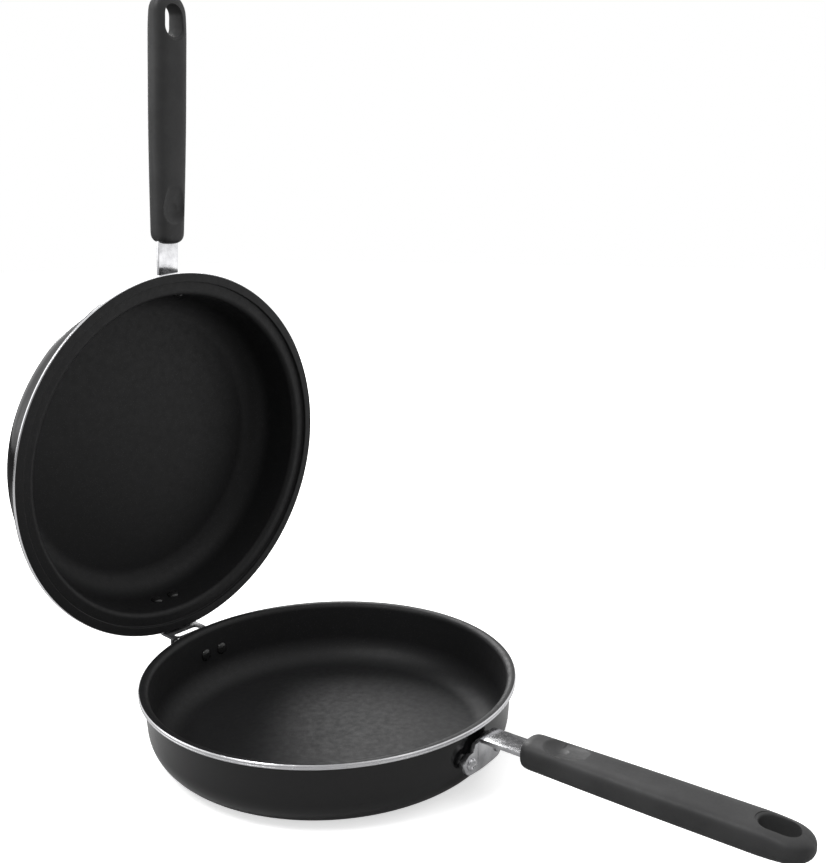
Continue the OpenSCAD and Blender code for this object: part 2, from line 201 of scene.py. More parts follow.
class Recipe(NodeKit):
    """A material's node tree, with the patterns that the finishes share."""

    def __init__(self, name: str, place: str | None = None) -> None:
        """Starts an empty material.

        Args:
            name: The material's name.
            place: A vector attribute that patterns follow; Object coordinates if None.
        """
        self.material = bpy.data.materials.new(name)
        self.material.use_nodes = True
        super().__init__(self.material.node_tree)
        self.shader = self.tree.nodes["Principled BSDF"]
        if place:
            self.place = self.add("ShaderNodeAttribute", attribute_name=place).outputs["Vector"]
        else:
            self.place = self.add("ShaderNodeTexCoord").outputs["Object"]

    def noise(self, scale: float, detail: float = 2.0, stretch: Sequence[float] = (1, 1, 1)) -> Socket:
        """A noise pattern.

        Args:
            scale: Pattern repeats in a metre.
            detail: Octaves of the noise.
            stretch: Scale of the pattern's place along each axis.

        Returns:
            The noise's value socket, from 0 to 1.
        """
        mapping = self.add("ShaderNodeMapping", {"Vector": self.place, "Scale": stretch})
        return self.add("ShaderNodeTexNoise", {
            "Vector": mapping.outputs["Vector"], "Scale": scale, "Detail": detail}).outputs["Fac"]

    def varied(self, scale: float, detail: float, low: float, high: float) -> Socket:
        """A level that wanders between two values.

        Args:
            scale: Pattern repeats in a metre.
            detail: Octaves of the noise.
            low: The lower value.
            high: The upper value.

        Returns:
            The level's socket.
        """
        return self.ranged(self.noise(scale, detail), 0.3, 0.7, low, high)

    def specks(self, scale: float, size: float) -> Socket:
        """Small round specks.

        Args:
            scale: Cells in a metre.
            size: Radius of a speck, as a part of its cell.

        Returns:
            A socket that is 1 in a speck and 0 elsewhere.
        """
        cells = self.add("ShaderNodeTexVoronoi", {"Vector": self.place, "Scale": scale})
        return self.ranged(cells.outputs["Distance"], size, size * 0.6, 0.0, 1.0)

    def rings(self, pitch: float) -> Socket:
        """Fine turned lines about the local Z axis, and along it.

        Args:
            pitch: Distance between the lines in metres.

        Returns:
            A socket with the lines' height, from 0 to 1.
        """
        parts = self.add("ShaderNodeSeparateXYZ", {"Vector": self.place}).outputs
        flat = self.add("ShaderNodeCombineXYZ", {"X": parts["X"], "Y": parts["Y"]})
        length = self.add("ShaderNodeVectorMath", {0: flat.outputs["Vector"]}, operation="LENGTH")
        along = self.maths("ADD", length.outputs["Value"], parts["Z"])
        texture = self.add(
            "ShaderNodeTexNoise", {"W": along, "Scale": 1.0 / pitch, "Detail": 3.0}, noise_dimensions="1D")
        return texture.outputs["Fac"]

    def blend(self, value: Socket, first: Sequence[float], second: Sequence[float]) -> Socket:
        """Blends two colours by a value.

        Args:
            value: 0 for the first colour, 1 for the second.
            first: The first colour.
            second: The second colour.

        Returns:
            The colour socket.
        """
        colours = {0: value, 6: (*first, 1), 7: (*second, 1)}
        return self.add("ShaderNodeMix", colours, data_type="RGBA").outputs[2]

    def bump(self, layers: Sequence[tuple[Socket, float]], strength: float = 0.5) -> None:
        """Adds bumps to the shader.

        Args:
            layers: Height sockets with their depth in metres.
            strength: Strength of every layer.
        """
        normal = {}
        for height, depth in layers:
            node = self.add("ShaderNodeBump", {
                "Height": height, "Strength": strength, "Distance": depth, **normal})
            normal = {"Normal": node.outputs["Normal"]}
        self.fill(self.shader, normal)

    def shade(self, **values: object) -> None:
        """Feeds the shader with sockets or plain values.

        Args:
            **values: The values by input name, with spaces written as underscores.
        """
        self.fill(self.shader, {key.replace("_", " "): value for key, value in values.items()})


# ---- finishes


@dataclass(frozen=True)
class StoveEnamel:
    """Glossy black enamel on the outside of the pans, with a faint orange peel."""

    name: str = "black_stove_enamel"
    colour: Colour = (0.0075, 0.0075, 0.008)
    fleck: Colour = (0.016, 0.016, 0.017)
    fleck_scale: float = 1400
    fleck_size: float = 0.2
    roughness: float = 0.17
    peel_depth: float = 0.00003
    specular: float = 0.4

    def material(self) -> Material:
        """Builds the finish.

        Returns:
            The material.
        """
        mix = Recipe(self.name, PAN_PLACE)
        mix.bump([(mix.noise(520, 1), self.peel_depth), (mix.noise(60, 2), self.peel_depth * 4)])
        mix.shade(
            Base_Color=mix.blend(mix.specks(self.fleck_scale, self.fleck_size), self.colour, self.fleck),
            Roughness=mix.varied(90, 3, self.roughness * 0.8, self.roughness * 1.3),
            Specular_IOR_Level=self.specular)
        return mix.material


@dataclass(frozen=True)
class NonStick:
    """Satin dark coating inside the pans: sprayed grain with fine pale specks."""

    name: str = "dark_non_stick_coat"
    colour: Colour = (0.0085, 0.0085, 0.009)
    speck: Colour = (0.05, 0.05, 0.052)
    speck_scale: float = 900
    speck_size: float = 0.17
    roughness: float = 0.52
    grain_depth: float = 0.00006
    specular: float = 0.26

    def material(self) -> Material:
        """Builds the finish.

        Returns:
            The material.
        """
        mix = Recipe(self.name, PAN_PLACE)
        mix.bump([(mix.noise(1300, 2), self.grain_depth), (mix.noise(380, 3), self.grain_depth)])
        mix.shade(
            Base_Color=mix.blend(mix.specks(self.speck_scale, self.speck_size), self.colour, self.speck),
            Roughness=mix.varied(240, 4, self.roughness - 0.05, self.roughness + 0.06),
            Specular_IOR_Level=self.specular)
        return mix.material


@dataclass(frozen=True)
class TurnedEdge:
    """Bare aluminium where the rim was turned after coating."""

    name: str = "turned_aluminium_edge"
    colour: Colour = (0.78, 0.78, 0.79)
    dull: Colour = (0.5, 0.5, 0.52)
    roughness: float = 0.22
    pitch: float = 0.00025
    depth: float = 0.00002

    def material(self) -> Material:
        """Builds the finish.

        Returns:
            The material.
        """
        mix = Recipe(self.name, PAN_PLACE)
        lines = mix.rings(self.pitch)
        mix.bump([(lines, self.depth), (mix.noise(260, 2), self.depth)], 0.6)
        mix.shade(
            Base_Color=mix.blend(lines, self.dull, self.colour),
            Roughness=mix.varied(150, 3, self.roughness - 0.06, self.roughness + 0.08),
            Metallic=1.0)
        return mix.material


@dataclass(frozen=True)
class PlatedSteel:
    """Plated or painted sheet and bar steel, with a mottled surface and fine marks."""

    name: str
    colour: Colour
    worn: Colour
    roughness: float
    metallic: float = 1.0
    mark_depth: float = 0.00002
    mark_stretch: tuple = (1, 0.12, 0.12)

    def material(self) -> Material:
        """Builds the finish.

        Returns:
            The material.
        """
        mix = Recipe(self.name)
        cloud = mix.ranged(mix.noise(130, 4), 0.35, 0.68, 0.0, 1.0)
        streaks = mix.noise(700, 2, self.mark_stretch)
        mix.bump([(streaks, self.mark_depth), (mix.noise(900, 2), self.mark_depth)])
        mix.shade(
            Base_Color=mix.blend(cloud, self.colour, self.worn),
            Roughness=mix.varied(400, 3, self.roughness - 0.06, self.roughness + 0.08),
            Metallic=self.metallic)
        return mix.material


@dataclass(frozen=True)
class Phenolic:
    """Moulded black phenolic of the grips: satin, with a very fine grain."""

    name: str = "black_phenolic"
    colour: Colour = (0.03, 0.03, 0.0305)
    pale: Colour = (0.046, 0.046, 0.0465)
    roughness: float = 0.5
    grain_depth: float = 0.00003
    wave_depth: float = 0.00008
    specular: float = 0.3

    def material(self) -> Material:
        """Builds the finish.

        Returns:
            The material.
        """
        mix = Recipe(self.name)
        cloud = mix.ranged(mix.noise(45, 4), 0.35, 0.7, 0.0, 1.0)
        mix.bump([(mix.noise(2200, 2), self.grain_depth), (mix.noise(110, 2), self.wave_depth)])
        mix.shade(
            Base_Color=mix.blend(cloud, self.colour, self.pale),
            Roughness=mix.varied(500, 3, self.roughness - 0.05, self.roughness + 0.07),
            Specular_IOR_Level=self.specular)
        return mix.material


class Finishes:
    """Every finish of the object, built once."""

    def __init__(self) -> None:
        """Builds the materials."""
        self.enamel = StoveEnamel().material()
        self.non_stick = NonStick().material()
        self.edge = TurnedEdge().material()
        self.zinc = PlatedSteel(
            "zinc_plated_steel", (0.72, 0.72, 0.735), (0.5, 0.5, 0.515), 0.17).material()
        self.bright = PlatedSteel(
            "bright_screw_steel", (0.62, 0.62, 0.63), (0.42, 0.42, 0.43), 0.3).material()
        self.dark = PlatedSteel(
            "dark_hinge_steel", (0.1, 0.1, 0.103), (0.17, 0.17, 0.174), 0.4, metallic=0.5).material()
        self.gloss = PlatedSteel(
            "gloss_black_rivet_heads", (0.008, 0.008, 0.008), (0.014, 0.014, 0.014), 0.16, metallic=0.0
        ).material()
        self.phenolic = Phenolic().material()


# ---- mesh helpers


def placed(name: str, data: bpy.types.ID) -> bpy.types.Object:
    """Puts a new object in the scene.

    Args:
        name: Its name.
        data: Its mesh, lamp or camera.

    Returns:
        The object.
    """
    thing = bpy.data.objects.new(name, data)
    bpy.context.scene.collection.objects.link(thing)
    return thing


def evaluated(blank: Mesh, tree: bpy.types.NodeTree, inputs: dict[str, object]) -> Mesh:
    """Runs a Geometry Nodes tree on a mesh.

    Args:
        blank: The mesh that the tree reads.
        tree: The tree.
        inputs: Values of the tree's inputs by name.

    Returns:
        The result as a plain mesh.
    """
    holder = placed("blank", blank)
    modifier = holder.modifiers.new("shape", "NODES")
    modifier.node_group = tree
    for item in tree.interface.items_tree:
        if item.item_type == "SOCKET" and item.in_out == "INPUT" and item.name in inputs:
            modifier[item.identifier] = inputs[item.name]
    return plain(holder)


def plain(holder: bpy.types.Object) -> Mesh:
    """Takes an object's final shape as a mesh and removes the object.

    Args:
        holder: An object with live modifiers.

    Returns:
        The mesh with every modifier applied.
    """
    bpy.context.view_layer.update()
    graph = bpy.context.evaluated_depsgraph_get()
    mesh = bpy.data.meshes.new_from_object(holder.evaluated_get(graph))
    old = holder.data
    bpy.data.objects.remove(holder)
    bpy.data.meshes.remove(old)
    return mesh


def mesh_of(name: str, points: Sequence, faces: Sequence, edges: Sequence = ()) -> Mesh:
    """Makes a mesh from points and faces.

    Args:
        name: The mesh's name.
        points: Vertex places.
        faces: Vertex indices of each face.
        edges: Vertex pairs, for a mesh of edges only.

    Returns:
        The mesh.
    """
    mesh = bpy.data.meshes.new(name)
    mesh.from_pydata([tuple(p) for p in points], list(edges), list(faces))
    mesh.update()
    return mesh


def joined(parts: Sequence[Mesh], name: str, merge: float = 1e-6) -> Mesh:
    """Joins meshes, keeping their materials, closes their seams and turns faces outwards.

    Args:
        parts: The meshes to join; they are removed.
        name: Name of the new mesh.
        merge: Distance under which vertices become one.

    Returns:
        The joined mesh.
    """
    target = bmesh.new()
    materials = list(dict.fromkeys(material for part in parts for material in part.materials))
    for part in parts:
        slots = [materials.index(material) for material in part.materials]
        start = len(target.faces)
        target.from_mesh(part)
        target.faces.ensure_lookup_table()
        for face in target.faces[start:]:
            face.material_index = slots[face.material_index] if slots else 0
    bmesh.ops.remove_doubles(target, verts=target.verts, dist=merge)
    bmesh.ops.dissolve_degenerate(target, edges=target.edges, dist=merge)
    bmesh.ops.recalc_face_normals(target, faces=target.faces)
    mesh = bpy.data.meshes.new(name)
    target.to_mesh(mesh)
    target.free()
    for material in materials:
        mesh.materials.append(material)
    for part in parts:
        bpy.data.meshes.remove(part)
    return mesh


def smooth(mesh: Mesh, angle: float = 32.0) -> None:
    """Shades a mesh smooth, except at edges sharper than an angle in degrees."""
    mesh.shade_smooth()
    mesh.set_sharp_from_angle(angle=math.radians(angle))


def publish(mesh: Mesh, name: str, half: Half, node: str) -> None:
    """Puts a finished mesh in the scene in place of a CAD node.

    Args:
        mesh: The mesh, in the scene's frame.
        name: Name of the piece.
        half: The half that it moves with.
        node: The CAD node that it stands for.
    """
    piece = placed(name, mesh)
    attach(piece, half.body)
    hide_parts(node)
    LOG.info("%s: %d faces, for %s", name, len(mesh.polygons), node)


# ---- geometry node trees


class TurnedTree(NodeKit):
    """A tree that turns an open section about Z, and may set a row of such parts round the pan."""

    def __init__(self, name: str, row: bool) -> None:
        """Builds the tree.

        Args:
            name: The tree's name.
            row: Whether the turned part is repeated along an arc.
        """
        super().__init__(bpy.data.node_groups.new(name, "GeometryNodeTree"))
        self.face = self.tree.interface
        self.face.new_socket("Section", in_out="INPUT", socket_type="NodeSocketGeometry")
        self.face.new_socket("Geometry", in_out="OUTPUT", socket_type="NodeSocketGeometry")
        self.source = self.tree.nodes.new("NodeGroupInput")
        self.result = self.tree.nodes.new("NodeGroupOutput")
        shape = self.turned()
        if row:
            shape = self.set_out(shape)
        realize = self.add("GeometryNodeRealizeInstances", {"Geometry": shape})
        self.input("Finish", "NodeSocketMaterial", None)
        paint = self.add("GeometryNodeSetMaterial", {
            "Geometry": realize.outputs[0], "Material": self.source.outputs["Finish"]})
        self.tree.links.new(paint.outputs[0], self.result.inputs[0])

    def input(self, name: str, kind: str, value: object) -> Socket:
        """Adds a named input.

        Args:
            name: The input's name.
            kind: Its socket type.
            value: Its default, or None.

        Returns:
            The socket inside the tree.
        """
        socket = self.face.new_socket(name, in_out="INPUT", socket_type=kind)
        if value is not None:
            socket.default_value = value
        return self.source.outputs[name]

    def turned(self) -> Socket:
        """Turns the section about Z.

        Returns:
            The turned mesh's socket.
        """
        steps = self.input("Steps", "NodeSocketInt", 64)
        core = self.input("Core Radius", "NodeSocketFloat", 0.01)
        section = self.add("GeometryNodeMeshToCurve", {"Mesh": self.source.outputs["Section"]})
        circle = self.add("GeometryNodeCurvePrimitiveCircle", {"Resolution": steps, "Radius": core})
        swept = self.add("GeometryNodeCurveToMesh", {
            "Curve": circle.outputs[0], "Profile Curve": section.outputs[0]})
        closed = self.add("GeometryNodeMergeByDistance", {"Geometry": swept.outputs[0], "Distance": 1e-6})
        return closed.outputs[0]

    def set_out(self, part: Socket) -> Socket:
        """Sets copies of a part along an arc, their Z axes pointing out of the wall.

        Args:
            part: The part's geometry socket.

        Returns:
            The instances' socket.
        """
        count = self.input("Count", "NodeSocketInt", 2)
        radius = self.input("Wall Radius", "NodeSocketFloat", 0.1)
        height = self.input("Height", "NodeSocketFloat", 0.02)
        middle = self.input("Middle Angle", "NodeSocketFloat", 0.0)
        step = self.input("Step Angle", "NodeSocketFloat", 0.1)
        index = self.add("GeometryNodeInputIndex").outputs[0]
        middle_index = self.maths("MULTIPLY", self.maths("SUBTRACT", count, 1.0), 0.5)
        offset = self.maths("SUBTRACT", index, middle_index)
        angle = self.maths("ADD", middle, self.maths("MULTIPLY", offset, step))
        place = self.add("ShaderNodeCombineXYZ", {
            "X": self.maths("MULTIPLY", radius, self.maths("COSINE", angle)),
            "Y": self.maths("MULTIPLY", radius, self.maths("SINE", angle)),
            "Z": height})
        points = self.add("GeometryNodePoints", {"Count": count, "Position": place.outputs[0]})
        turn = self.add("ShaderNodeCombineXYZ", {"X": 0.0, "Y": math.pi / 2, "Z": angle})
        rotation = self.add("FunctionNodeEulerToRotation", {"Euler": turn.outputs[0]})
        copies = self.add("GeometryNodeInstanceOnPoints", {
            "Points": points.outputs[0], "Instance": part, "Rotation": rotation.outputs[0]})
        return copies.outputs[0]


class Lathe:
    """Turns sections into meshes with the two trees."""

    def __init__(self) -> None:
        """Builds the trees."""
        self.single = TurnedTree("turned_part", row=False).tree
        self.row = TurnedTree("row_of_turned_parts", row=True).tree

    def section(self, path: Sequence[Point], core: float) -> Mesh:
        """Makes a section of edges for a tree.

        Args:
            path: Points of radius and height in millimetres.
            core: Radius of the circle that the section follows, in millimetres.

        Returns:
            The mesh.
        """
        points = [((r - core) * MM, -z * MM, 0) for r, z in path]
        return mesh_of("section", points, [], [(i, i + 1) for i in range(len(path) - 1)])

    def turn(self, path: Sequence[Point], finish: Material, steps: int, core: float = 60.0) -> Mesh:
        """Turns one part about Z.

        Args:
            path: Points of radius and height in millimetres.
            finish: Its material.
            steps: Facets round the axis.
            core: Radius of the circle that the section follows, in millimetres.

        Returns:
            The mesh in metres.
        """
        return evaluated(self.section(path, core), self.single, {
            "Steps": steps, "Core Radius": core * MM, "Finish": finish})

    def turn_row(self, path: Sequence[Point], finish: Material, row: "RivetRow", core: float = 2.0) -> Mesh:
        """Turns a part and sets it out in a row round the wall.

        Args:
            path: Points of radius and height in millimetres.
            finish: Its material.
            row: Where the parts sit.
            core: Radius of the circle that the section follows, in millimetres.

        Returns:
            The mesh in metres.
        """
        return evaluated(self.section(path, core), self.row, {
            "Steps": row.steps, "Core Radius": core * MM, "Count": row.count, "Wall Radius": row.radius * MM,
            "Height": row.height * MM, "Middle Angle": math.radians(row.middle),
            "Step Angle": 2 * math.asin(row.half_pitch / row.radius), "Finish": finish})


# ---- the pans


def arc(centre: Point, radius: float, start: float, end: float, steps: int = 10) -> list[Point]:
    """Points of an arc.

    Args:
        centre: The arc's centre.
        radius: Its radius.
        start: First angle in degrees.
        end: Last angle in degrees.
        steps: Number of steps.

    Returns:
        The points.
    """
    angles = [math.radians(start + (end - start) * i / steps) for i in range(steps + 1)]
    return [(centre[0] + radius * math.cos(a), centre[1] + radius * math.sin(a)) for a in angles]


def eased(path: Sequence[Point], radius: float, steps: int = 4) -> list[Point]:
    """Rounds the corners of an open path.

    Args:
        path: The path's points.
        radius: Radius of each corner.
        steps: Steps round each corner.

    Returns:
        The rounded path.
    """
    result = [tuple(path[0])]
    for before, here, after in zip(path, path[1:], path[2:]):
        p = Vector(here)
        a = (Vector(before) - p).normalized()
        b = (Vector(after) - p).normalized()
        half = a.angle(b) / 2
        room = min((Vector(before) - p).length, (Vector(after) - p).length) * 0.48
        reach = min(radius / math.tan(half), room)
        r = reach * math.tan(half)
        centre = p + (a + b).normalized() * r / math.sin(half)
        u = p + a * reach - centre
        v = p + b * reach - centre
        for k in range(steps + 1):
            mixed = u.lerp(v, k / steps).normalized() * r
            result.append(tuple(centre + mixed))
    result.append(tuple(path[-1]))
    return result


@dataclass
class Pan:
    """A pressed pan, turned from its section: base, corner, leaning wall, lip and rim."""

    half: Half
    radius: float = 120.0
    depth: float = 45.0
    sheet: float = 3.0
    lip: float = 3.0
    neck: float = 1.0
    taper: float = 4.0
    corner: float = 22.0
    ring_clear: float = 3.4
    ring_width: float = 6.4
    ring_height: float = 2.5
    bare_height: float = 1.5
    edge_cut: float = 0.5
    groove: float = 0.16
    steps: int = 256

    @property
    def lip_z(self) -> float:
        """Height of the lip's underside."""
        return self.depth - self.sheet

    @property
    def wall_top(self) -> float:
        """Outer radius of the wall under the lip."""
        return self.radius - self.lip

    @property
    def step_radius(self) -> float:
        """Inner radius of the upper pan's raised ring."""
        return self.radius + self.ring_clear

    def wall(self, drop: float) -> float:
        """Outer radius of the wall at a depth below the rim."""
        return self.wall_top - (drop - self.sheet) * math.tan(math.radians(self.taper))

    def corner_centre(self) -> Point:
        """Centre of the corner between wall and base."""
        lean = math.radians(self.taper)
        rise = self.corner + (self.lip_z - self.corner) * math.sin(lean)
        return (self.wall_top - rise / math.cos(lean), self.corner)

    def neck_centre(self) -> Point:
        """Centre of the bend that turns the wall out into the lip."""
        lean = math.radians(self.taper)
        return (self.wall_top + self.neck * (1 - math.sin(lean)) / math.cos(lean), self.lip_z - self.neck)

    def base_path(self) -> list[Point]:
        """The underside: a flat foot with a slightly hollow, stepped middle."""
        edge = self.corner_centre()[0]
        return [(0.0, 0.7), (6.0, 0.7), (7.0, 0.3), (edge - 14.0, 0.3), (edge - 13.0, 0.0)]

    def paths(self) -> dict[Zone, list[Point]]:
        """The section's paths by zone, from the base's middle outside to the floor's middle.

        Returns:
            Paths that meet end to end.
        """
        lean = self.taper
        outer = arc(self.corner_centre(), self.corner, -90, -lean, 16)
        under = arc(self.neck_centre(), self.neck, 180 - lean, 90, 5)
        inner_neck = arc(self.neck_centre(), self.neck + self.sheet, 90, 180 - lean, 10)
        inner = arc(self.corner_centre(), self.corner - self.sheet, -lean, -90, 16)
        floor = [(70.0, self.sheet), (40.0, self.sheet), (12.0, self.sheet), (0.0, self.sheet)]
        if self.half is Half.LOWER:
            r, low, high, bottom = self.radius, self.lip_z, self.depth, self.radius - self.groove
            groove = [
                (r - 0.45, low), (r, low + 0.45), (r, low + 1.0), (bottom, low + 1.15),
                (bottom, high - 1.15), (r, high - 1.0), (r, high - 0.55), (r - 0.55, high)]
            edge = eased(groove, 0.12, 3)
            top = [groove[-1]]
        else:
            inside, cut = self.step_radius, self.edge_cut
            rise = self.ring_height
            r, low, high = inside + self.ring_width, self.lip_z + rise, self.depth + rise
            bare = high - self.bare_height
            step = [
                under[-1], (inside + self.sheet / 2, self.lip_z),
                (inside + self.sheet, low), (r, low), (r, bare)]
            under = under[:-1] + eased(step, 0.8)
            edge = eased([(r, bare), (r, high - cut), (r - cut, high)], 0.25, 3)
            top = eased([(r - cut, high), (inside, high), (inside, self.depth), inner_neck[0]], 0.45)[:-1]
        return {
            Zone.OUTSIDE: self.base_path() + outer + under + ([edge[0]] if edge[0] != under[-1] else []),
            Zone.EDGE: edge,
            Zone.INSIDE: top + inner_neck + inner + floor,
        }

    def build(self, lathe: Lathe, finishes: Finishes) -> None:
        """Turns the pan and publishes it.

        Args:
            lathe: The lathe.
            finishes: The object's finishes.
        """
        coats = {Zone.OUTSIDE: finishes.enamel, Zone.EDGE: finishes.edge, Zone.INSIDE: finishes.non_stick}
        parts = [lathe.turn(path, coats[zone], self.steps) for zone, path in self.paths().items()]
        mesh = joined(parts, f"{self.half.value}_pan_shell", 2e-6)
        place = mesh.attributes.new(PAN_PLACE, "FLOAT_VECTOR", "POINT")
        spots = np.zeros(len(mesh.vertices) * 3, np.float32)
        mesh.vertices.foreach_get("co", spots)
        place.data.foreach_set("vector", spots)
        mesh.transform(self.half.place)
        smooth(mesh, 40)
        publish(mesh, f"{self.half.value}_pan_shell", self.half, f"{self.half.value}_pan")


# ---- rivets


@dataclass
class RivetRow:
    """A pair of rivets through the wall: a domed head inside, a rolled head outside."""

    half: Half
    node: str
    grip: float
    half_pitch: float
    middle: float
    drop: float
    slot: str
    shank: float = 4.0
    dome: float = 8.6
    dome_rise: float = 2.4
    head: float = 7.2
    head_rise: float = 1.5
    bite: float = 0.35
    count: int = 2
    steps: int = 40
    wall_depth: float = Pan.sheet / math.cos(math.radians(Pan.taper))

    @property
    def radius(self) -> float:
        """Radius of the wall where the rivets pass."""
        return Pan(self.half).wall(self.drop)

    @property
    def height(self) -> float:
        """Height of the rivets above the base."""
        return Pan(self.half).depth - self.drop

    def dome_path(self) -> list[Point]:
        """Section of the domed head inside the pan, with a small flat rim."""
        inside = -self.wall_depth
        rise = [
            (self.dome / 2 * math.cos(math.radians(a)), inside - self.dome_rise * math.sin(math.radians(a)))
            for a in range(0, 91, 9)]
        rise[-1] = (0.0, rise[-1][1])
        return [(self.shank / 2, inside + self.bite), (self.dome / 2, inside + self.bite)] + rise

    def head_path(self) -> list[Point]:
        """Section of the rolled head outside, with its ring and dimple, and the shank."""
        top, r = self.grip, self.head / 2
        rolled = eased([
            (r * 0.5, top + self.head_rise * 0.62), (r * 0.62, top + self.head_rise),
            (r * 0.84, top + self.head_rise * 0.88), (r, top + self.head_rise * 0.4),
            (r, top - self.bite)], 0.3, 4)
        dimple = [(0.0, top + self.head_rise * 0.42), (r * 0.3, top + self.head_rise * 0.45)]
        shank = [(self.shank / 2, z) for z in (top - self.bite, self.bite - self.wall_depth)]
        return dimple + rolled + shank

    def build(self, lathe: Lathe, finishes: Finishes) -> None:
        """Turns the rivets and publishes them.

        Args:
            lathe: The lathe.
            finishes: The object's finishes.
        """
        head = finishes.zinc if self.slot == "rivet_steel" else finishes.dark
        parts = [
            lathe.turn_row(self.dome_path(), finishes.gloss, self),
            lathe.turn_row(self.head_path(), head, self)]
        mesh = joined(parts, f"{self.node}_turned")
        mesh.transform(self.half.place)
        smooth(mesh, 50)
        publish(mesh, f"{self.node}_turned", self.half, self.node)


@dataclass
class HingePin:
    """The pin through the knuckles, with its ends peened over."""

    lathe: Lathe

    def build(self, finishes: Finishes) -> None:
        """Turns the pin to the length of its CAD node.

        Args:
            finishes: The object's finishes.
        """
        low, high = (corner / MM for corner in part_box("hinge_pin"))
        length, middle = high.y - low.y, (low + high) / 2
        r = min(high.x - low.x, high.z - low.z) / 2
        end = [(0.0, 0.0), (r * 0.35, 0.08), (r * 0.8, 0.3), (r, 0.8)]
        path = end + [(r, length / 2)] + [(a, length - b) for a, b in reversed(end)]
        mesh = joined([self.lathe.turn(path, finishes.dark, 40, 1.0)], "hinge_pin_turned")
        mesh.transform(Matrix.Rotation(-math.pi / 2, 4, "X"))
        mesh.transform(Matrix.Translation((middle.x * MM, low.y * MM, middle.z * MM)))
        smooth(mesh, 45)
        publish(mesh, "hinge_pin_turned", Half.LOWER, "hinge_pin")


# ---- sheet metal


@dataclass
class PressedPart:
    """A sheet or bar part that keeps its CAD shape and gets eased edges."""

    node: str
    half: Half
    slot: str
    ease: float = 0.35
    angle: float = 32.0
    segments: int = 3

    def build(self, finish: Material) -> None:
        """Eases the edges of a copy of the CAD node and publishes it.

        Args:
            finish: Its material.
        """
        work = bmesh.new()
        work.from_mesh(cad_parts[self.node].data)
        bmesh.ops.remove_doubles(work, verts=work.verts, dist=2e-6)
        bmesh.ops.dissolve_limit(
            work, angle_limit=math.radians(0.6), verts=work.verts, edges=work.edges, delimit={"NORMAL"})
        mesh = bpy.data.meshes.new(self.node + "_eased")
        work.to_mesh(mesh)
        work.free()
        holder = placed("blank", mesh)
        bevel = holder.modifiers.new("ease", "BEVEL")
        bevel.limit_method = "ANGLE"
        bevel.angle_limit = math.radians(self.angle)
        bevel.width = self.ease * MM
        bevel.segments = self.segments
        bevel.use_clamp_overlap = True
        result = plain(holder)
        result.materials.clear()
        result.materials.append(finish)
        smooth(result, 38)
        publish(result, self.node + "_eased", self.half, self.node)


# ---- the grips


